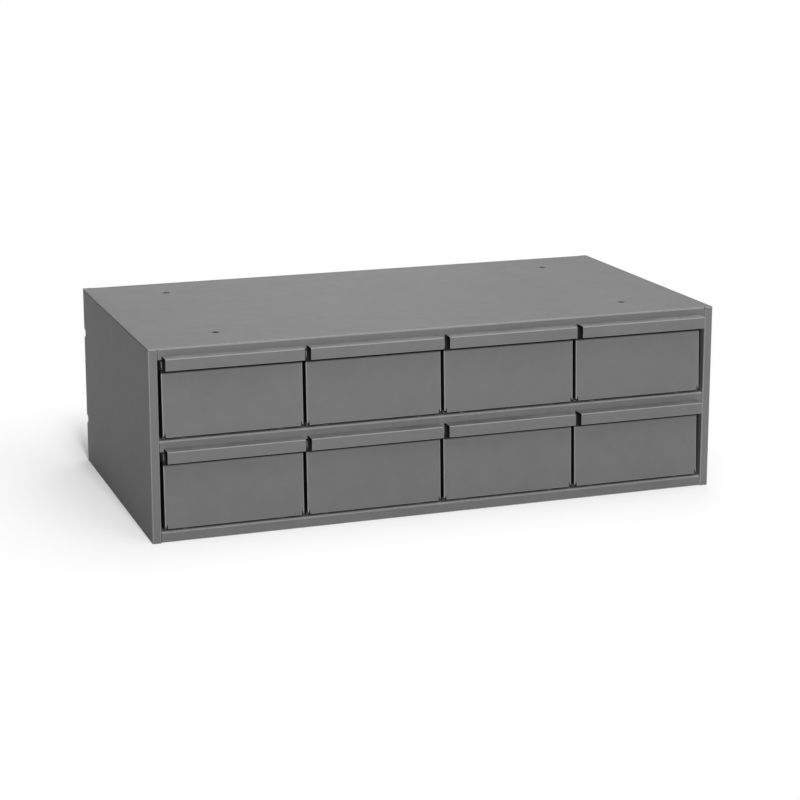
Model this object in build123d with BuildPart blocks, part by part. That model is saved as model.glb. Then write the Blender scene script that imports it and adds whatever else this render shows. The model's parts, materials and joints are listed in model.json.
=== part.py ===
"""Small parts cabinet: a welded sheet steel case with two rows of four steel drawers.

Every piece is folded sheet. X runs across the front, Y runs from the front to the back and Z runs up.
The origin is on the ground, in the middle of the whole outline with the drawer pulls included.
"""

import os
from math import atan2, cos, sin

from build123d import *

# Case, in millimetres
CASE_WIDTH = 857.25
CASE_DEPTH = 450.85
CASE_HEIGHT = 276.225
CASE_SHEET = 1.2
CASE_BEND = 2.0
RAIL_BEND = 3.5
FLOOR_RISE = 15.875
ROW_PITCH = 130.175
ROWS = {"lower": 0, "upper": 1}
COLUMNS = 4

# Stiles, rails and the flanges that hold the case together
STILE_WIDTH = 12.7
STILE_RETURN = 13.0
RAIL_HEIGHT = 16.5
RAIL_RETURN = 8.0
RAIL_SET_BACK = 1.2
END_FLANGE = 12.0
REAR_FLANGE = 15.0
SEAM = 0.5
HEM_WIDTH = 12.0

# Four bolt holes in the top and the same four in the bottom
HOLE_RADIUS = 5.55625
HOLE_FROM_SIDE = 114.3
HOLE_FROM_EDGE = 76.2

# Notches through the rear upright corners of the case
NOTCH_HEIGHT = 15.0
NOTCH_DEPTH = 10.0
NOTCH_SLANT = 4.0
NOTCH_INWARD = STILE_WIDTH - CASE_BEND
NOTCH_LEVELS = (0.25 * CASE_HEIGHT, 0.75 * CASE_HEIGHT)

# Partitions and guides between the drawers
PARTITION_SHEET = 0.9
PARTITION_FLANGE = 10.0
PARTITION_SET_BACK = 40.0
PARTITION_REAR_GAP = 6.0

# Drawers, whose bays stand a little left of the middle
DRAWER_PITCH = 205.8
BAY_SHIFT = -2.5
DRAWER_SHEET = 0.9
DRAWER_BEND = 1.8
FRONT_WIDTH = 201.2
FRONT_GAP = 0.3
FRONT_LEAN = 4.5
FRONT_FOOT = 5.0
FRONT_RETURN = 10.0
FRONT_RETURN_TOP = 101.0
FRONT_LEDGE = 119.5
TOE_LENGTH = 16.0
TOE_WIDTH = 193.0
TOE_DROP = 2.2
CORNER_INSET = 3.0
RELIEF_LENGTH = 4.0
RELIEF_WIDTH = 1.5
RELIEF_RISE = 4.0
HOOD_WIDTH = 197.0
HOOD_REACH = 21.0
HOOD_LIP = 16.9
HOOD_HEM = 7.0

# Tray of a drawer
TRAY_WIDTH = 197.6
TRAY_TOP = 111.0
TRAY_REAR_GAP = 8.0
TRAY_SETBACK = 10.0
TRAY_CUT = 12.0
RUNNER_CLEARANCE = 0.3
RUNNER_DEPTH = 1.5
RUNNER_FROM_MIDDLE = 70.0
RUNNER_FOOT = 4.4
RUNNER_TOP = 8.0
RIM_HEIGHT = 8.0
TAB_WIDTH = 10.0
TAB_BOTTOM = 12.0
TAB_TOP = 105.0

# Back of a drawer, which stands above the tray and stops it behind the rail
BACK_FLANGE = 12.0
BACK_SIDE_TOP = 109.0
BACK_RISER_WIDTH = 186.0
BACK_TOP = 124.0
STOP_LIP = 40.0

# Places worked out from the sizes
PULL_REACH = FRONT_GAP + DRAWER_SHEET + HOOD_REACH - RAIL_SET_BACK
CASE_FRONT = -(CASE_DEPTH + PULL_REACH) / 2 + PULL_REACH
CASE_REAR = CASE_FRONT + CASE_DEPTH
PULL_FRONT = CASE_FRONT - PULL_REACH
RAIL_FACE = CASE_FRONT + RAIL_SET_BACK
HALF_WIDTH = CASE_WIDTH / 2
SIDE_INNER = HALF_WIDTH - CASE_SHEET
OPENING_EDGE = HALF_WIDTH - STILE_WIDTH
RAIL_END = OPENING_EDGE - SEAM
BACK_INNER = CASE_REAR - 2 * CASE_SHEET
SIDE_TOP = CASE_HEIGHT - 2 * CASE_SHEET
FLANGE_FRONT = CASE_FRONT + STILE_RETURN + SEAM
FLANGE_REAR = BACK_INNER - SEAM
TRAY_FLOOR = RUNNER_CLEARANCE + RUNNER_DEPTH
TRAY_REAR = BACK_INNER - TRAY_REAR_GAP
FRONT_RUN = FRONT_LEDGE - FRONT_FOOT - DRAWER_SHEET
LEAN_ANGLE = atan2(FRONT_LEAN, FRONT_RUN)
PANEL_BACK_TOP = RAIL_FACE - FRONT_GAP
PANEL_BACK_FOOT = PANEL_BACK_TOP - FRONT_LEAN


def fold(points, bends, sheet):
    """Draw the section of a bent sheet: the points lie on one surface, the metal lies to its right."""
    with BuildLine() as section:
        FilletPolyline(*points, radius=bends)
        offset(amount=sheet, side=Side.RIGHT)
    make_face(section.edges())


def crease(points, sheet):
    """Draw the section of a sheet folded tight, with its points and its metal as in a fold."""
    with BuildLine() as section:
        Polyline(*points)
        offset(amount=sheet, side=Side.RIGHT, kind=Kind.INTERSECTION)
    make_face(section.edges())


def panel_back_y(height):
    """Where the leaning back face of a drawer front is, at a height above the shelf."""
    rise = (height - FRONT_FOOT - DRAWER_SHEET) / FRONT_RUN
    return PANEL_BACK_FOOT + FRONT_LEAN * rise


def leaning_section(height):
    """Plane square to the leaning front at a height, with X across and Y towards the back."""
    up = (0, sin(LEAN_ANGLE), cos(LEAN_ANGLE))
    return Plane(origin=(0, panel_back_y(height), height), x_dir=(1, 0, 0), z_dir=up)


def leaning_back(height):
    """Plane of the leaning front's back face, with X across and its normal towards the back."""
    backward = (0, cos(LEAN_ANGLE), -sin(LEAN_ANGLE))
    return Plane(origin=(0, panel_back_y(height), height), x_dir=(1, 0, 0), z_dir=backward)


def section_at(y):
    """Upright plane across the cabinet, with X across, Y up and its normal towards the front."""
    return Plane(origin=(0, y, 0), x_dir=(1, 0, 0), z_dir=(0, -1, 0))


def side_panel():
    """Left side: wall, front stile with its return, rear flange, and a flange at top and bottom."""
    with BuildPart() as side:
        with BuildSketch(Plane.XY):
            upright = [
                (-OPENING_EDGE, CASE_FRONT + STILE_RETURN),
                (-OPENING_EDGE, CASE_FRONT),
                (-HALF_WIDTH, CASE_FRONT),
                (-HALF_WIDTH, CASE_REAR),
                (-OPENING_EDGE, CASE_REAR),
            ]
            fold(upright, CASE_BEND, CASE_SHEET)
        extrude(amount=SIDE_TOP)
        flange_length = FLANGE_REAR - FLANGE_FRONT
        flange_middle = (FLANGE_REAR + FLANGE_FRONT) / 2
        for level in (CASE_SHEET / 2, SIDE_TOP - CASE_SHEET / 2):
            with Locations((-HALF_WIDTH + END_FLANGE / 2, flange_middle, level)):
                Box(END_FLANGE, flange_length, CASE_SHEET)
        with BuildSketch(Plane.YZ.offset(-HALF_WIDTH)):
            for level in NOTCH_LEVELS:
                rear_notch(level)
        extrude(amount=NOTCH_INWARD, mode=Mode.SUBTRACT)
    return side.part


def rear_notch(level):
    """Outline of one notch, square below and slanted above."""
    low = level - NOTCH_HEIGHT / 2
    high = level + NOTCH_HEIGHT / 2
    with BuildLine() as outline:
        Polyline(
            (CASE_REAR - NOTCH_DEPTH, low),
            (CASE_REAR + SEAM, low),
            (CASE_REAR + SEAM, high),
            (CASE_REAR - NOTCH_DEPTH, high - NOTCH_SLANT),
            close=True,
        )
    make_face(outline.edges())


def bolt_holes(level):
    """Cut the four bolt holes through the sheet whose top is at this level."""
    middle_y = (CASE_FRONT + CASE_REAR) / 2
    spacing_x = CASE_WIDTH - 2 * HOLE_FROM_SIDE
    spacing_y = CASE_DEPTH - 2 * HOLE_FROM_EDGE
    with Locations((0, middle_y, level)):
        with GridLocations(spacing_x, spacing_y, 2, 2):
            Hole(HOLE_RADIUS, depth=CASE_SHEET)


def top_sheet():
    """Top: front rail with its return, rear flange, and a strip with a flat hem over each side."""
    rail_foot = CASE_HEIGHT - RAIL_HEIGHT
    with BuildPart() as top:
        with BuildSketch(Plane.YZ):
            profile = [
                (RAIL_FACE + CASE_SHEET + RAIL_RETURN, rail_foot),
                (RAIL_FACE, rail_foot),
                (RAIL_FACE, CASE_HEIGHT),
                (CASE_REAR, CASE_HEIGHT),
                (CASE_REAR, CASE_HEIGHT - REAR_FLANGE),
            ]
            fold(profile, [CASE_BEND, RAIL_BEND, CASE_BEND], CASE_SHEET)
        extrude(amount=RAIL_END, both=True)
        with BuildSketch(section_at(CASE_REAR)):
            for side in (-1, 1):
                strip_middle = side * (RAIL_END + SIDE_INNER) / 2
                with Locations((strip_middle, CASE_HEIGHT - CASE_SHEET / 2)):
                    Rectangle(SIDE_INNER - RAIL_END, CASE_SHEET)
                hem_middle = side * (HALF_WIDTH - HEM_WIDTH / 2)
                with Locations((hem_middle, CASE_HEIGHT - CASE_SHEET)):
                    SlotOverall(HEM_WIDTH, 2 * CASE_SHEET)
        extrude(amount=CASE_DEPTH)
        with BuildSketch(Plane.YZ):
            with Locations((CASE_FRONT, CASE_HEIGHT)):
                Rectangle(2 * RAIL_BEND, 2 * RAIL_BEND)
            with Locations((CASE_FRONT + RAIL_BEND, CASE_HEIGHT - RAIL_BEND)):
                Circle(RAIL_BEND, mode=Mode.SUBTRACT)
        extrude(amount=HALF_WIDTH, both=True, mode=Mode.SUBTRACT)
        bolt_holes(CASE_HEIGHT)
    return top.part


def shelf(level, rail_foot):
    """A shelf between the sides: front rail with its return, rear flange and a flange at each end."""
    with BuildPart() as sheet:
        with BuildSketch(Plane.YZ):
            profile = [
                (RAIL_FACE + CASE_SHEET + RAIL_RETURN, rail_foot),
                (RAIL_FACE, rail_foot),
                (RAIL_FACE, level),
                (BACK_INNER, level),
                (BACK_INNER, level - END_FLANGE),
            ]
            fold(profile, [CASE_BEND, RAIL_BEND, CASE_BEND], CASE_SHEET)
        extrude(amount=RAIL_END, both=True)
        with BuildSketch(section_at(FLANGE_REAR - CASE_BEND)):
            ends = [
                (-SIDE_INNER, level - END_FLANGE),
                (-SIDE_INNER, level),
                (SIDE_INNER, level),
                (SIDE_INNER, level - END_FLANGE),
            ]
            crease(ends, CASE_SHEET)
        extrude(amount=FLANGE_REAR - CASE_BEND - FLANGE_FRONT)
        if level == FLOOR_RISE:
            bolt_holes(level)
    return sheet.part


def back_sheet():
    """Flat back, held between the rear flanges and the shelves, with its corners notched too."""
    with BuildPart() as back:
        with Locations((0, BACK_INNER + CASE_SHEET / 2, SIDE_TOP / 2)):
            Box(2 * (SIDE_INNER - CASE_BEND), CASE_SHEET, SIDE_TOP)
        for level in NOTCH_LEVELS:
            with Locations((0, BACK_INNER, level)):
                with GridLocations(CASE_WIDTH, 1, 2, 1):
                    Box(2 * NOTCH_INWARD, NOTCH_DEPTH, NOTCH_HEIGHT, mode=Mode.SUBTRACT)
    return back.part


def partition():
    """Z-section sheet that stands on a shelf at the middle of the width and guides the drawers beside it."""
    top = ROW_PITCH - CASE_SHEET
    half_sheet = PARTITION_SHEET / 2
    with BuildPart() as wall:
        with BuildSketch(section_at(BACK_INNER - PARTITION_REAR_GAP)):
            profile = [
                (PARTITION_FLANGE, 0),
                (-half_sheet, 0),
                (-half_sheet, top - PARTITION_SHEET),
                (-PARTITION_FLANGE, top - PARTITION_SHEET),
            ]
            crease(profile, PARTITION_SHEET)
        extrude(amount=BACK_INNER - PARTITION_REAR_GAP - CASE_FRONT - PARTITION_SET_BACK)
    return wall.part


def drawer_front():
    """Folded front: pull hood with a hemmed lip, ledge, leaning panel, toe and side returns."""
    foot = FRONT_FOOT + DRAWER_SHEET
    panel_foot = foot + DRAWER_BEND
    lip_foot = FRONT_LEDGE - HOOD_LIP
    toe_bend = DRAWER_BEND - DRAWER_SHEET
    half = FRONT_WIDTH / 2
    with BuildPart() as front:
        with BuildSketch(Plane.YZ):
            hood = [
                (PULL_FRONT, lip_foot + DRAWER_SHEET),
                (PULL_FRONT, FRONT_LEDGE),
                (PANEL_BACK_TOP, FRONT_LEDGE),
                (panel_back_y(panel_foot), panel_foot),
            ]
            fold(hood, DRAWER_BEND, DRAWER_SHEET)
            with Locations((PULL_FRONT + DRAWER_SHEET, lip_foot + HOOD_HEM / 2)):
                SlotOverall(HOOD_HEM, 2 * DRAWER_SHEET, rotation=90)
        extrude(amount=HOOD_WIDTH / 2, both=True)
        with BuildSketch(Plane.YZ):
            toe = [
                (panel_back_y(2 * panel_foot), 2 * panel_foot),
                (PANEL_BACK_FOOT, foot),
                (PANEL_BACK_FOOT + TOE_LENGTH, foot - TOE_DROP),
            ]
            fold(toe, toe_bend, DRAWER_SHEET)
        extrude(amount=TOE_WIDTH / 2, both=True)
        with BuildSketch(leaning_section(panel_foot)):
            returns = [
                (half, FRONT_RETURN),
                (half, -DRAWER_SHEET),
                (-half, -DRAWER_SHEET),
                (-half, FRONT_RETURN),
            ]
            fold(returns, DRAWER_BEND, DRAWER_SHEET)
        extrude(amount=(FRONT_RETURN_TOP - panel_foot) / cos(LEAN_ANGLE))
        with BuildSketch(leaning_back(FRONT_FOOT + RELIEF_RISE)):
            with GridLocations(FRONT_WIDTH - 2 * CORNER_INSET, 1, 2, 1):
                Rectangle(RELIEF_WIDTH, RELIEF_LENGTH)
        extrude(amount=-2 * DRAWER_SHEET, mode=Mode.SUBTRACT)
    return front.part


def drawer_tray():
    """Folded tray: floor with two runner beads, side walls with flat hems outside, and front tabs."""
    half = TRAY_WIDTH / 2
    profile = [(half, TRAY_TOP), (half, TRAY_FLOOR), (-half, TRAY_FLOOR), (-half, TRAY_TOP)]
    bead = [
        (-RUNNER_TOP / 2, 0),
        (RUNNER_TOP / 2, 0),
        (RUNNER_FOOT / 2, -RUNNER_DEPTH),
        (-RUNNER_FOOT / 2, -RUNNER_DEPTH),
    ]
    with BuildPart() as tray:
        with BuildSketch(section_at(TRAY_REAR)):
            fold(profile, DRAWER_BEND, DRAWER_SHEET)
            for surface, mode in ((TRAY_FLOOR, Mode.ADD), (TRAY_FLOOR + DRAWER_SHEET, Mode.SUBTRACT)):
                with Locations((0, surface)):
                    with GridLocations(2 * RUNNER_FROM_MIDDLE, 1, 2, 1):
                        Polygon(*bead, align=None, mode=mode)
            with Locations((0, TRAY_TOP - RIM_HEIGHT / 2)):
                with GridLocations(TRAY_WIDTH, 1, 2, 1):
                    SlotOverall(RIM_HEIGHT, 2 * DRAWER_SHEET, rotation=90)
        extrude(amount=TRAY_REAR - PANEL_BACK_FOOT)
        split(bisect_by=leaning_back(FRONT_FOOT), keep=Keep.TOP)
        with Locations((0, PANEL_BACK_FOOT, 0)):
            Box(2 * TRAY_WIDTH, 2 * TRAY_SETBACK, 2 * TRAY_CUT, mode=Mode.SUBTRACT)
        with BuildSketch(Plane.YZ.offset(half - DRAWER_SHEET)):
            with BuildLine():
                Polyline(
                    (panel_back_y(TAB_BOTTOM), TAB_BOTTOM),
                    (panel_back_y(TAB_TOP), TAB_TOP),
                    (panel_back_y(TAB_TOP) + DRAWER_SHEET, TAB_TOP),
                    (panel_back_y(TAB_BOTTOM) + DRAWER_SHEET, TAB_BOTTOM),
                    close=True,
                )
            make_face()
        tab = extrude(amount=-TAB_WIDTH)
        mirror(tab, about=Plane.YZ)
    return tray.part


def drawer_back():
    """Back of a tray: sheet with side flanges, and a riser whose forward lip stops at the rail."""
    half = TRAY_WIDTH / 2 - DRAWER_SHEET
    floor = TRAY_FLOOR + DRAWER_SHEET
    with BuildPart() as back:
        with BuildSketch(Plane.XY.offset(floor + DRAWER_BEND)):
            flanges = [
                (-half, TRAY_REAR - BACK_FLANGE),
                (-half, TRAY_REAR),
                (half, TRAY_REAR),
                (half, TRAY_REAR - BACK_FLANGE),
            ]
            crease(flanges, DRAWER_SHEET)
        extrude(amount=BACK_SIDE_TOP - floor - DRAWER_BEND)
        with BuildSketch(Plane.YZ):
            riser = [
                (TRAY_REAR - STOP_LIP, BACK_TOP),
                (TRAY_REAR, BACK_TOP),
                (TRAY_REAR, floor),
            ]
            fold(riser, DRAWER_BEND, DRAWER_SHEET)
        extrude(amount=BACK_RISER_WIDTH / 2, both=True)
    return back.part


def place(part, x, z, label):
    """Put a copy of a piece at its place in the cabinet, name it and write its file."""
    copy = part.moved(Location((x, 0, z)))
    copy.label = label
    export_step(copy, f"parts/{label}.step")


def write_case():
    """Write the six sheets of the case."""
    left_side = side_panel()
    place(left_side, 0, 0, "left_side")
    place(left_side.mirror(Plane.YZ), 0, 0, "right_side")
    place(top_sheet(), 0, 0, "top_panel")
    place(shelf(FLOOR_RISE, 0), 0, 0, "bottom_panel")
    middle = FLOOR_RISE + ROW_PITCH
    place(shelf(middle, middle - RAIL_HEIGHT), 0, 0, "middle_shelf")
    place(back_sheet(), 0, 0, "back_panel")


def write_rows():
    """Write the partitions, guides and drawers of both rows."""
    names = ["left_guide", "partition_1", "partition_2", "partition_3", "right_guide"]
    wall = partition()
    mirrored_wall = wall.mirror(Plane.YZ)
    front, tray, back = drawer_front(), drawer_tray(), drawer_back()
    for row, number in ROWS.items():
        shelf_top = FLOOR_RISE + number * ROW_PITCH
        for place_number, name in enumerate(names):
            x = (place_number - COLUMNS / 2) * DRAWER_PITCH + BAY_SHIFT
            sheet = mirrored_wall if name == "left_guide" else wall
            place(sheet, x, shelf_top, f"{row}_{name}")
        for column in range(COLUMNS):
            x = (column - (COLUMNS - 1) / 2) * DRAWER_PITCH + BAY_SHIFT
            drawer = f"{row}_drawer_{column + 1}"
            place(front, x, shelf_top, f"{drawer}_front")
            place(tray, x, shelf_top, f"{drawer}_tray")
            place(back, x, shelf_top, f"{drawer}_back")


os.makedirs("parts", exist_ok=True)
write_case()
write_rows()
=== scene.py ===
"""Looks of the small parts cabinet: its grey enamel, and the studio it stands in."""

import json
import logging
import math
from collections.abc import Iterable
from dataclasses import dataclass, field
from enum import Enum

import bmesh
import bpy
from mathutils import Matrix, Vector


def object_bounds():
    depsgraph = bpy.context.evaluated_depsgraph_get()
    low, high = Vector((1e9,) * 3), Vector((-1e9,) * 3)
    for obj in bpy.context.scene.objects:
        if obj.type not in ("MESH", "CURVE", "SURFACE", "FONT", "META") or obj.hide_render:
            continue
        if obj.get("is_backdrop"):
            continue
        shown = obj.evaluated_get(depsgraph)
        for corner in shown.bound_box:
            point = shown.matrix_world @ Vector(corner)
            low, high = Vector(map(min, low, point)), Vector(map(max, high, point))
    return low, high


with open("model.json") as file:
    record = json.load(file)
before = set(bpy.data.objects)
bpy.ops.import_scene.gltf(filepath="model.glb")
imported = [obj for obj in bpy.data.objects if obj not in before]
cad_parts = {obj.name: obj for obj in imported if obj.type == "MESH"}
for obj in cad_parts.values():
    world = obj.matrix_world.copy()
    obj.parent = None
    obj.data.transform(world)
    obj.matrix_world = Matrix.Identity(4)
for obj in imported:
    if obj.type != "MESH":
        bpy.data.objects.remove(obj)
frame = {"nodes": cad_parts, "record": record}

Pair = tuple[float, float]
Triple = tuple[float, float, float]

UNSTRETCHED: Triple = (1.0, 1.0, 1.0)
ORIGIN: Triple = (0.0, 0.0, 0.0)
WHITE = (1.0, 1.0, 1.0, 1.0)
NOISE_MIDDLE = 0.5
NOISE_ROUGHNESS = 0.55
ROUNDING_SAMPLES = 6
# Sockets of a Mix node that is set to colours, by index because their names repeat.
MIX_SHARE, MIX_FIRST, MIX_SECOND, MIX_RESULT = 0, 6, 7, 2

log = logging.getLogger("cabinet")


def grey(level: float, warmth: float = 0.0) -> Triple:
    """A linear grey, a little warmer or cooler by warmth."""
    return (level * (1 + warmth), level, level * (1 - warmth))


@dataclass(frozen=True)
class Patches:
    """Soft noise: the width of its patches in metres, its finer layers and its stretch."""

    size: float
    detail: float = 2.0
    stretch: Triple = UNSTRETCHED


class Signal:
    """A value or a direction that changes over a surface: one socket, with its arithmetic."""

    def __init__(self, sheet: "Worksheet", socket: bpy.types.NodeSocket) -> None:
        """Keeps the worksheet that the socket is on."""
        self.sheet = sheet
        self.socket = socket

    def __add__(self, other: "Signal | float") -> "Signal":
        """Sum with a value or a number."""
        return self.sheet.maths("ADD", self, other)

    def __sub__(self, other: "Signal | float") -> "Signal":
        """This less the other."""
        return self.sheet.maths("SUBTRACT", self, other)

    def __rsub__(self, other: float) -> "Signal":
        """A number less this."""
        return self.sheet.maths("SUBTRACT", other, self)

    def __mul__(self, other: "Signal | float") -> "Signal":
        """Product with a value or a number."""
        return self.sheet.maths("MULTIPLY", self, other)

    def __abs__(self) -> "Signal":
        """Its size without its sign."""
        return self.sheet.maths("ABSOLUTE", self)

    __radd__ = __add__
    __rmul__ = __mul__

    def larger(self, other: "Signal | float") -> "Signal":
        """The larger of the two."""
        return self.sheet.maths("MAXIMUM", self, other)

    def ramp(self, start: float, end: float) -> "Signal":
        """A smooth rise from 0 at start to 1 at end.

        Args:
            start: Value at which the rise begins. It may be above end, for a fall.
            end: Value at which the rise is complete.

        Returns:
            The value from 0 to 1.
        """
        low, high, first, last = (start, end, 0.0, 1.0) if start < end else (end, start, 1.0, 0.0)
        rise = self.sheet.node(
            "ShaderNodeMapRange",
            {"interpolation_type": "SMOOTHSTEP", "clamp": True},
            {"Value": self, "From Min": low, "From Max": high, "To Min": first, "To Max": last},
        )
        return Signal(self.sheet, rise.outputs["Result"])


class Worksheet:
    """The node tree of one material or of the world."""

    def __init__(self, tree: bpy.types.NodeTree) -> None:
        """Clears the tree."""
        self.tree = tree
        tree.nodes.clear()

    def node(
        self, kind: str, settings: dict | None = None, inputs: dict | None = None
    ) -> bpy.types.Node:
        """Makes any node.

        Args:
            kind: The node's type name.
            settings: Its properties, which are set first.
            inputs: Values or signals of its sockets, by socket name or index.

        Returns:
            The new node.
        """
        made = self.tree.nodes.new(kind)
        for name, value in (settings or {}).items():
            setattr(made, name, value)
        for name, value in (inputs or {}).items():
            if isinstance(value, Signal):
                self.tree.links.new(value.socket, made.inputs[name])
            else:
                made.inputs[name].default_value = value
        return made

    def read(
        self, kind: str, output: str | int, settings: dict | None = None, inputs: dict | None = None
    ) -> Signal:
        """Makes a node and gives one of its outputs.

        Args:
            kind: The node's type name.
            output: Name or index of the output.
            settings: Its properties.
            inputs: Values or signals of its sockets.

        Returns:
            The output as a signal.
        """
        return Signal(self, self.node(kind, settings, inputs).outputs[output])

    def maths(self, operation: str, *terms: Signal | float) -> Signal:
        """A Math node on values and numbers."""
        inputs = dict(enumerate(terms))
        return self.read("ShaderNodeMath", "Value", {"operation": operation}, inputs)

    def vector(self, operation: str, *terms: Signal | Triple) -> Signal:
        """A Vector Math node that gives a direction or a point."""
        inputs = dict(enumerate(terms))
        return self.read("ShaderNodeVectorMath", "Vector", {"operation": operation}, inputs)

    def measure(self, operation: str, *terms: Signal) -> Signal:
        """A Vector Math node that gives a number."""
        inputs = dict(enumerate(terms))
        return self.read("ShaderNodeVectorMath", "Value", {"operation": operation}, inputs)

    def blend(
        self, share: Signal | float, first: Signal | Triple, second: Signal | Triple
    ) -> Signal:
        """Mixes two colours.

        Args:
            share: Part of the second colour, from 0 to 1.
            first: Colour at 0.
            second: Colour at 1.

        Returns:
            The mixed colour.
        """
        first, second = ((*c, 1.0) if isinstance(c, tuple) else c for c in (first, second))
        settings = {"data_type": "RGBA", "blend_type": "MIX", "clamp_factor": True}
        inputs = {MIX_SHARE: share, MIX_FIRST: first, MIX_SECOND: second}
        return self.read("ShaderNodeMix", MIX_RESULT, settings, inputs)

    def place(self, stretch: Triple = UNSTRETCHED) -> Signal:
        """Points on the object in metres, multiplied by stretch along each axis."""
        points = self.read("ShaderNodeTexCoord", "Object")
        if stretch == UNSTRETCHED:
            return points
        inputs = {"Vector": points, "Scale": stretch}
        return self.read("ShaderNodeMapping", "Vector", {"vector_type": "POINT"}, inputs)

    def cloud(self, patches: Patches) -> Signal:
        """Soft noise with a value about 0.5."""
        inputs = {
            "Vector": self.place(patches.stretch),
            "Scale": 1 / patches.size,
            "Detail": patches.detail,
            "Roughness": NOISE_ROUGHNESS,
        }
        return self.read("ShaderNodeTexNoise", "Fac", {"noise_dimensions": "3D"}, inputs)

    def facing(self) -> tuple[Signal, Signal, Signal]:
        """The parts of the direction in which the surface faces, in the object's own axes."""
        return self.parts(self.read("ShaderNodeTexCoord", "Normal"))

    def parts(self, whole: Signal) -> tuple[Signal, Signal, Signal]:
        """The three parts of a direction or a point."""
        split = self.node("ShaderNodeSeparateXYZ", None, {"Vector": whole})
        return tuple(Signal(self, split.outputs[axis]) for axis in "XYZ")

    def rounding(self, radius: float) -> Signal:
        """The surface's direction with every edge rounded to radius, in metres."""
        settings = {"samples": ROUNDING_SAMPLES}
        return self.read("ShaderNodeBevel", "Normal", settings, {"Radius": radius})

    def edges(self, radius: float) -> Signal:
        """How near an edge the point is.

        Args:
            radius: Width of the band along each edge, in metres.

        Returns:
            0 on flat faces, rising to about 0.3 on a square edge.
        """
        plain = self.read("ShaderNodeNewGeometry", "True Normal")
        return 1.0 - self.measure("DOT_PRODUCT", self.rounding(radius), plain)


class Slot(Enum):
    """The record's material slots."""

    CASE = "case_paint"
    DRAWER = "drawer_paint"

    def nodes(self) -> list[str]:
        """Names of the CAD nodes that have this slot."""
        rows = frame["record"]["subparts"]
        return [row["node"] for row in rows if row["material_slot"] == self.value]


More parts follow.
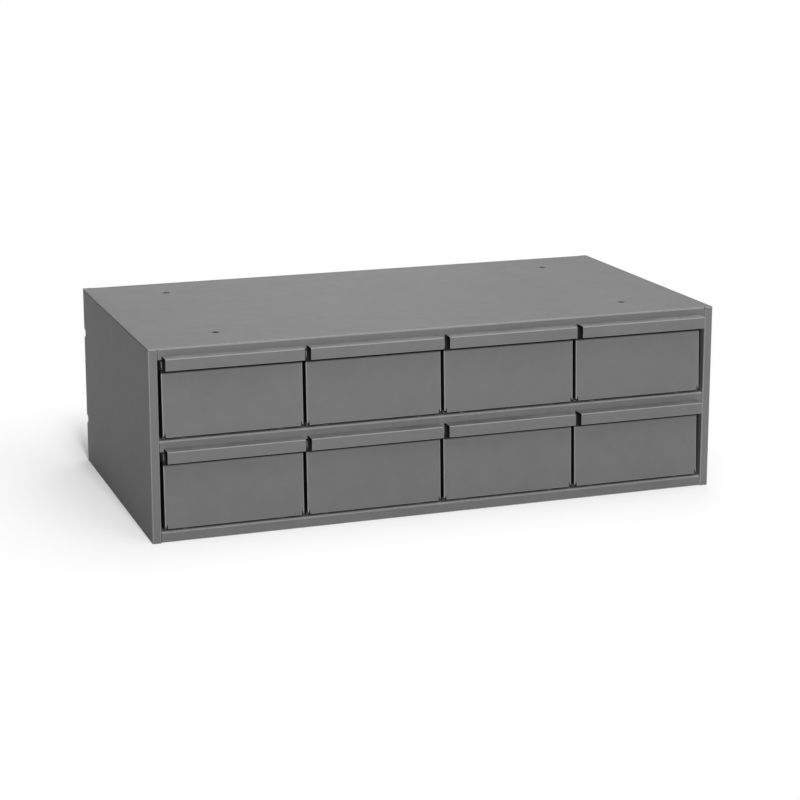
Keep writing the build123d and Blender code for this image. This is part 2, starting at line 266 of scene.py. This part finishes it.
@dataclass(frozen=True)
class Enamel:
    """Satin grey baking enamel on sheet steel.

    Lengths are in metres and tones are linear. A span holds the two values between which a mask
    rises from 0 to 1.
    """

    name: str

    tone: float = 0.190
    spread: float = 0.035
    slow_drift: Patches = Patches(0.16, 3.0)
    quick_drift: Patches = Patches(0.019, 2.0)
    drift_span: Pair = (0.34, 0.66)

    # Tone of thin paint on worn edges, and of the painted highlight along folds.
    edge_and_fold_highlight_tone: float = 0.36
    edge_band: float = 0.0011
    edge_span: Pair = (0.015, 0.20)
    edge_wear: float = 0.25
    chips: Patches = Patches(0.0045, 4.0)
    chip_span: Pair = (0.40, 0.62)
    chip_wear: float = 0.45

    # Painted highlight along the folds, where bends would catch the light.
    painted_fold_highlight: float = 0.75
    fold_highlight_span: Pair = (0.12, 0.46)
    fold_highlight_chips: float = 0.2

    # Pale dust on faces that look up; on the drawer fronts its large share is painted light on the
    # pulls' ledges.
    dust_and_top_light_tone: float = 0.27
    dust_and_top_light_warmth: float = 0.012
    dust_and_top_light: float = 0.10
    dust_and_top_light_patches: Patches = Patches(0.055, 4.0)
    dust_and_top_light_patch_span: Pair = (0.30, 0.75)
    dust_and_top_light_level_span: Pair = (0.55, 0.98)

    roughness: float = 0.52
    sheen_patches: float = 0.07
    dust_roughness: float = 0.5
    wear_shine: float = 0.12
    specular: float = 0.04

    peel: Patches = Patches(0.0021, 1.0)
    coarse_peel: Patches = Patches(0.00903, 1.0)
    coarse_peel_depth: float = 1.4
    peel_depth: float = 0.000035
    edge_softness: float = 0.4

    rub_lines: float = 0.0
    rubs: Patches = Patches(0.0016, 2.0, (1.0, 0.02, 1.0))
    rub_span: Pair = (0.60, 0.74)
    rub_level_span: Pair = (0.7, 0.95)
    rub_smoothing: float = 0.6

    # Near-black tone of grime on seams, and of painted shade in the pulls' hollows and on the
    # fronts' side returns.
    grime_and_shade_tone: float = 0.02

    def grimed_or_shaded(self, sheet: Worksheet) -> Signal | None:
        """Where grime or painted shade darkens the paint, from 0 to 1, or None on a clean piece."""
        return None

    def rubbed(self, sheet: Worksheet, level: Signal) -> Signal | float:
        """Where sliding has rubbed fine lines into the paint.

        Args:
            sheet: Worksheet of the material.
            level: How nearly level the surface lies, from 0 to 1.

        Returns:
            The rubbing, from 0 to 1.
        """
        if not self.rub_lines:
            return 0.0
        lines = sheet.cloud(self.rubs).ramp(*self.rub_span)
        return lines * level.ramp(*self.rub_level_span) * self.rub_lines

    def wear_and_fold_highlight(self, sheet: Worksheet, faces: tuple[Signal, Signal, Signal]) -> Signal:
        """How thin the paint is on edges, and the painted highlight along folds.

        Args:
            sheet: Worksheet of the material.
            faces: Sizes of the three parts of the surface's direction.

        Returns:
            The wear and the painted fold highlight, from 0 to 1.
        """
        across, along, up = faces
        chips = sheet.cloud(self.chips).ramp(*self.chip_span)
        edges = sheet.edges(self.edge_band).ramp(*self.edge_span)
        edges = edges * (chips * self.chip_wear + self.edge_wear)
        # Folds, where the surface faces between two axes, get a painted highlight.
        fold_highlight = (across * along + along * up + up * across).ramp(*self.fold_highlight_span)
        fold_highlight = fold_highlight * (chips * self.fold_highlight_chips + (1 - self.fold_highlight_chips)) * self.painted_fold_highlight
        return edges.larger(fold_highlight)

    def colour(self, sheet: Worksheet, wear_and_fold_highlight: Signal, dusted_or_top_lit: Signal) -> Signal:
        """The paint's colour: drift, thin edges, dust and grime, with painted fold highlights, top
        light and shade.

        Args:
            sheet: Worksheet of the material.
            wear_and_fold_highlight: How thin the paint is, with the painted highlight along folds.
            dusted_or_top_lit: How much dust or painted top light lies on it.

        Returns:
            The colour.
        """
        drift = (sheet.cloud(self.slow_drift) + sheet.cloud(self.quick_drift)) * 0.5
        low, high = grey(self.tone * (1 - self.spread)), grey(self.tone * (1 + self.spread))
        ground = sheet.blend(drift.ramp(*self.drift_span), low, high)
        # Worn edges and the painted fold highlight lighten the ground.
        ground = sheet.blend(wear_and_fold_highlight, ground, grey(self.edge_and_fold_highlight_tone))
        # Dust lightens faces that look up, and on the drawer fronts paints light on the pulls'
        # ledges.
        ground = sheet.blend(dusted_or_top_lit, ground, grey(self.dust_and_top_light_tone, self.dust_and_top_light_warmth))
        # Grime, or painted shade on the drawer fronts, darkens the paint last.
        grime_or_shade = self.grimed_or_shaded(sheet)
        return ground if grime_or_shade is None else sheet.blend(grime_or_shade, ground, grey(self.grime_and_shade_tone))

    def relief(self, sheet: Worksheet, rubbed: Signal | float) -> Signal:
        """The orange peel of sprayed enamel on softened edges.

        Args:
            sheet: Worksheet of the material.
            rubbed: Where sliding has smoothed the paint, from 0 to 1.

        Returns:
            The surface's direction.
        """
        skin = sheet.cloud(self.peel) + sheet.cloud(self.coarse_peel) * self.coarse_peel_depth
        inputs = {
            "Strength": 1.0,
            "Distance": self.peel_depth,
            "Height": skin * (1.0 - rubbed * self.rub_smoothing),
            "Normal": sheet.rounding(self.edge_band * self.edge_softness),
        }
        return sheet.read("ShaderNodeBump", "Normal", None, inputs)

    def material(self) -> bpy.types.Material:
        """Builds the enamel.

        Returns:
            The material.
        """
        made = bpy.data.materials.new(self.name)
        made.use_nodes = True
        sheet = Worksheet(made.node_tree)
        facing = sheet.facing()
        faces = tuple(abs(part) for part in facing)
        rubbed = self.rubbed(sheet, faces[2])
        # Wear on edges, and the painted highlight along folds.
        wear_and_fold_highlight = self.wear_and_fold_highlight(sheet, faces)
        if self.rub_lines:
            wear_and_fold_highlight = wear_and_fold_highlight.larger(rubbed)
        patches = sheet.cloud(self.dust_and_top_light_patches)
        # Dust on faces that look up, which is painted top light where its share is large.
        dusted_or_top_lit = facing[2].ramp(*self.dust_and_top_light_level_span) * patches.ramp(*self.dust_and_top_light_patch_span) * self.dust_and_top_light
        gloss = self.roughness + (patches - NOISE_MIDDLE) * self.sheen_patches
        gloss = gloss + dusted_or_top_lit * self.dust_roughness - wear_and_fold_highlight * self.wear_shine
        inputs = {
            "Base Color": self.colour(sheet, wear_and_fold_highlight, dusted_or_top_lit),
            "Roughness": gloss,
            "Specular IOR Level": self.specular,
            "Normal": self.relief(sheet, rubbed),
        }
        shader = sheet.read("ShaderNodeBsdfPrincipled", "BSDF", None, inputs)
        sheet.node("ShaderNodeOutputMaterial", None, {"Surface": shader})
        return made


@dataclass(frozen=True)
class CaseEnamel(Enamel):
    """The case's enamel, with a thin line of grime under the hemmed edges of its top.

    Lengths are in metres.
    """

    hem_foot: float = 0.27383
    line: float = 0.6
    line_span: Pair = (0.0009, 0.00027)
    line_patches: Patches = Patches(0.03, 3.0)
    line_patch_span: Pair = (0.30, 0.55)
    line_breaks: float = 0.4
    side_span: Pair = (0.3, 0.7)

    def grimed_or_shaded(self, sheet: Worksheet) -> Signal:
        """Where old grime darkens the paint.

        Args:
            sheet: Worksheet of the material.

        Returns:
            The share of grime from 0 to 1, which follows the seam on both sides.
        """
        height = sheet.parts(sheet.place())[2]
        band = abs(height - self.hem_foot).ramp(*self.line_span)
        broken = sheet.cloud(self.line_patches).ramp(*self.line_patch_span)
        broken = broken * self.line_breaks + (1 - self.line_breaks)
        return band * abs(sheet.facing()[0]).ramp(*self.side_span) * broken * self.line


@dataclass(frozen=True)
class PullEnamel(Enamel):
    """The enamel of a drawer front, with painted shade in the pull's hollow and on the side
    returns.

    Lengths are in metres. The hollow's height is measured from the foot of its drawer's row.
    """

    floor: float = 0.015875
    row: float = 0.130175
    lip_span: Pair = (-0.2352, -0.2343)
    hollow_span: Pair = (0.0935, 0.0965)
    level_span: Pair = (0.5, 0.15)
    side_span: Pair = (0.75, 0.95)

    def grimed_or_shaded(self, sheet: Worksheet) -> Signal:
        """Where painted shade darkens the paint.

        Args:
            sheet: Worksheet of the material.

        Returns:
            The share of painted shade from 0 to 1: behind the pull's lip, and on what faces
                sideways.
        """
        _, depth, height = sheet.parts(sheet.place())
        across, _, up = sheet.facing()
        height = sheet.maths("MODULO", height - self.floor, self.row)
        # Painted shade behind the pull's lip, where the hollow lies in shadow.
        hollow = depth.ramp(*self.lip_span) * height.ramp(*self.hollow_span)
        hollow = hollow * up.ramp(*self.level_span)
        # Sideways faces, the side returns in the gaps between fronts, get painted shade too.
        return hollow.larger(abs(across).ramp(*self.side_span))


@dataclass
class Coat:
    """One finish and the material made of it, shared by the nodes that have it."""

    finish: Enamel
    material: bpy.types.Material = field(init=False)

    def __post_init__(self) -> None:
        """Makes the material."""
        self.material = self.finish.material()

    def put_on(self, names: Iterable[str]) -> None:
        """Paints CAD nodes.

        Args:
            names: The nodes' names.
        """
        for name in names:
            node = frame["nodes"][name]
            for slot in node.material_slots:
                slot.material = self.material
            if not node.material_slots:
                node.data.materials.append(self.material)
            log.info("%s painted with %s", name, self.finish.name)


@dataclass
class Case:
    """The case: its folded panels, its two shelves and the guides between the drawers."""

    shelves: tuple[str, ...] = ("middle_shelf", "bottom_panel")
    guide_words: tuple[str, ...] = ("guide", "partition")
    outside: CaseEnamel = CaseEnamel("case_enamel")
    # The shelves' folds get a strong painted highlight.
    shelf: Enamel = Enamel("shelf_enamel", painted_fold_highlight=0.95, dust_and_top_light=0.05, rub_lines=0.5)
    inside: Enamel = Enamel("inner_enamel", tone=0.175, dust_and_top_light=0.22, roughness=0.55, spread=0.06)

    def dress(self) -> None:
        """Paints the case's nodes."""
        names = Slot.CASE.nodes()
        guides = [name for name in names if any(word in name for word in self.guide_words)]
        Coat(self.inside).put_on(guides)
        Coat(self.shelf).put_on(self.shelves)
        Coat(self.outside).put_on(name for name in names if name not in (*guides, *self.shelves))


@dataclass
class DrawerSet:
    """The eight drawers, each a folded front, a tray and a back."""

    front_ending: str = "_front"
    # The fronts' large share of pale dust paints light on the pulls' upward ledges, and their folds
    # get a strong painted highlight.
    front: PullEnamel = PullEnamel(
        "front_enamel",
        tone=0.182,
        painted_fold_highlight=0.95,
        dust_and_top_light_tone=0.30,
        dust_and_top_light=0.8,
        roughness=0.50,
    )
    tray: Enamel = Enamel("tray_enamel", dust_and_top_light=0.16, rub_lines=0.7, roughness=0.5)

    def dress(self) -> None:
        """Paints the drawers' nodes."""
        names = Slot.DRAWER.nodes()
        Coat(self.front).put_on(name for name in names if name.endswith(self.front_ending))
        Coat(self.tray).put_on(name for name in names if not name.endswith(self.front_ending))


@dataclass(frozen=True)
class Softbox:
    """One large soft lamp. Lengths are in metres and power in watts."""

    name: str
    place: Triple
    size: Pair
    power: float

    def hang(self, aim: Vector) -> None:
        """Makes the lamp, turned to a point.

        Args:
            aim: The point that it faces.
        """
        lamp = bpy.data.lights.new(self.name, "AREA")
        lamp.shape = "RECTANGLE"
        lamp.size, lamp.size_y = self.size
        lamp.energy = self.power
        holder = bpy.data.objects.new(self.name, lamp)
        holder.location = self.place
        holder.rotation_euler = (aim - Vector(self.place)).to_track_quat("-Z", "Y").to_euler()
        holder.visible_camera = False
        bpy.context.scene.collection.objects.link(holder)
        log.info("%s hung", self.name)


@dataclass(frozen=True)
class Paper:
    """The floor's paper: pale near the object, where it keeps the shadow, and white farther off.

    Lengths are in metres. The bounce tone is what lights the object from below.
    """

    name: str = "floor_paper"
    tone: float = 0.95
    bounce_tone: float = 0.78
    footprint: Triple = (0.4286, 0.2359, 0.0)
    fade_to: float = 0.40
    grain: Patches = Patches(0.004, 3.0)
    grain_depth: float = 0.02

    def material(self) -> bpy.types.Material:
        """Builds the paper.

        Returns:
            The material.
        """
        made = bpy.data.materials.new(self.name)
        made.use_nodes = True
        sheet = Worksheet(made.node_tree)
        shown = seen(sheet)
        tint = sheet.blend(shown, grey(self.bounce_tone), grey(self.tone))
        matt = {"Color": tint, "Roughness": 1.0}
        near = sheet.read("ShaderNodeBsdfDiffuse", "BSDF", None, matt)
        glow = {"Color": WHITE, "Strength": 1.0}
        far = sheet.read("ShaderNodeEmission", "Emission", None, glow)
        outside = sheet.vector("SUBTRACT", sheet.vector("ABSOLUTE", sheet.place()), self.footprint)
        away = sheet.measure("LENGTH", sheet.vector("MAXIMUM", outside, ORIGIN))
        rough = away + sheet.cloud(self.grain) * self.grain_depth
        fade = rough.ramp(0.0, self.fade_to) * shown
        both = sheet.read("ShaderNodeMixShader", "Shader", None, {0: fade, 1: near, 2: far})
        sheet.node("ShaderNodeOutputMaterial", None, {"Surface": both})
        return made


def seen(sheet: Worksheet) -> Signal:
    """Tells what is looked at from what lights the object.

    Args:
        sheet: Worksheet of a material or of the world.

    Returns:
        1 for what the camera, a gloss or a clear surface shows, and 0 for other light.
    """
    path = sheet.node("ShaderNodeLightPath")
    shown = Signal(sheet, path.outputs["Is Camera Ray"])
    for name in ("Is Glossy Ray", "Is Transmission Ray"):
        shown = shown.larger(Signal(sheet, path.outputs[name]))
    return shown


@dataclass
class Studio:
    """A pale floor that fades into white, soft lamps and the photograph's camera.

    Lengths are in metres, angles in degrees, and the lens and its sensor in millimetres.
    """

    floor_radius: float = 30.0
    floor_sides: int = 96
    paper: Paper = Paper()
    ambient: float = 0.15
    camera_place: Triple = (-1.03004, -2.91949, 0.90780)
    camera_yaw: float = 19.617
    camera_pitch: float = 12.123
    lens: float = 93.737
    sensor: float = 36.0
    shift: float = -0.1
    sight: float = 100.0
    lamps: tuple[Softbox, ...] = (
        Softbox("key_lamp", (-0.55, -3.70, 1.42), (0.7, 0.5), 84.0),
        Softbox("top_lamp", (0.2, -0.2, 2.8), (2.4, 2.2), 18.0),
        Softbox("top_front_lamp", (0.0, -1.6, 2.4), (2.0, 1.4), 10.0),
        Softbox("high_back_lamp", (0.8, 1.7, 2.1), (1.8, 1.4), 31.0),
        Softbox("right_lamp", (3.2, 0.3, 0.4), (1.6, 0.6), 30.0),
        Softbox("back_lamp", (0.3, 3.3, 0.30), (2.2, 0.4), 30.0),
    )

    def lay_floor(self) -> None:
        """Lays the floor, a round sheet of paper."""
        shape = bmesh.new()
        bmesh.ops.create_circle(
            shape, cap_ends=True, radius=self.floor_radius, segments=self.floor_sides
        )
        mesh = bpy.data.meshes.new("floor")
        shape.to_mesh(mesh)
        shape.free()
        floor = bpy.data.objects.new("floor", mesh)
        bpy.context.scene.collection.objects.link(floor)
        floor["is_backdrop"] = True
        mesh.materials.append(self.paper.material())
        log.info("floor laid with %s", self.paper.name)

    def open_sky(self) -> None:
        """Gives the world its soft grey light and its white background."""
        world = bpy.data.worlds.new("studio")
        world.use_nodes = True
        bpy.context.scene.world = world
        sheet = Worksheet(world.node_tree)
        light = {"Color": sheet.blend(seen(sheet), grey(self.ambient), grey(1.0)), "Strength": 1.0}
        sky = sheet.read("ShaderNodeBackground", "Background", None, light)
        sheet.node("ShaderNodeOutputWorld", None, {"Surface": sky})

    def set_camera(self) -> None:
        """Sets the camera where the photograph was taken from.

        The photograph keeps its uprights nearly parallel, which takes a small downward shift of
        the lens.
        """
        lens = bpy.data.cameras.new("camera")
        lens.sensor_width = self.sensor
        lens.lens = self.lens
        lens.shift_y = self.shift
        lens.clip_end = self.sight
        camera = bpy.data.objects.new("camera", lens)
        turn = Matrix.Rotation(math.radians(-self.camera_yaw), 4, "Z")
        tilt = Matrix.Rotation(math.radians(90.0 - self.camera_pitch), 4, "X")
        camera.matrix_world = Matrix.Translation(self.camera_place) @ turn @ tilt
        bpy.context.scene.collection.objects.link(camera)
        bpy.context.scene.camera = camera
        log.info("camera set")

    def build(self, aim: Vector) -> None:
        """Sets up the studio.

        Args:
            aim: Centre of the object, which the lamps face.
        """
        self.lay_floor()
        self.open_sky()
        self.set_camera()
        for lamp in self.lamps:
            lamp.hang(aim)
        bpy.context.scene.view_settings.view_transform = "Standard"


def main() -> None:
    """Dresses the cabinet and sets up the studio."""
    logging.basicConfig(level=logging.INFO, format="%(message)s")
    low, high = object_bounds()
    for assembly in (Case(), DrawerSet()):
        assembly.dress()
    Studio().build((low + high) / 2)


if __name__ == "__main__":
    main()
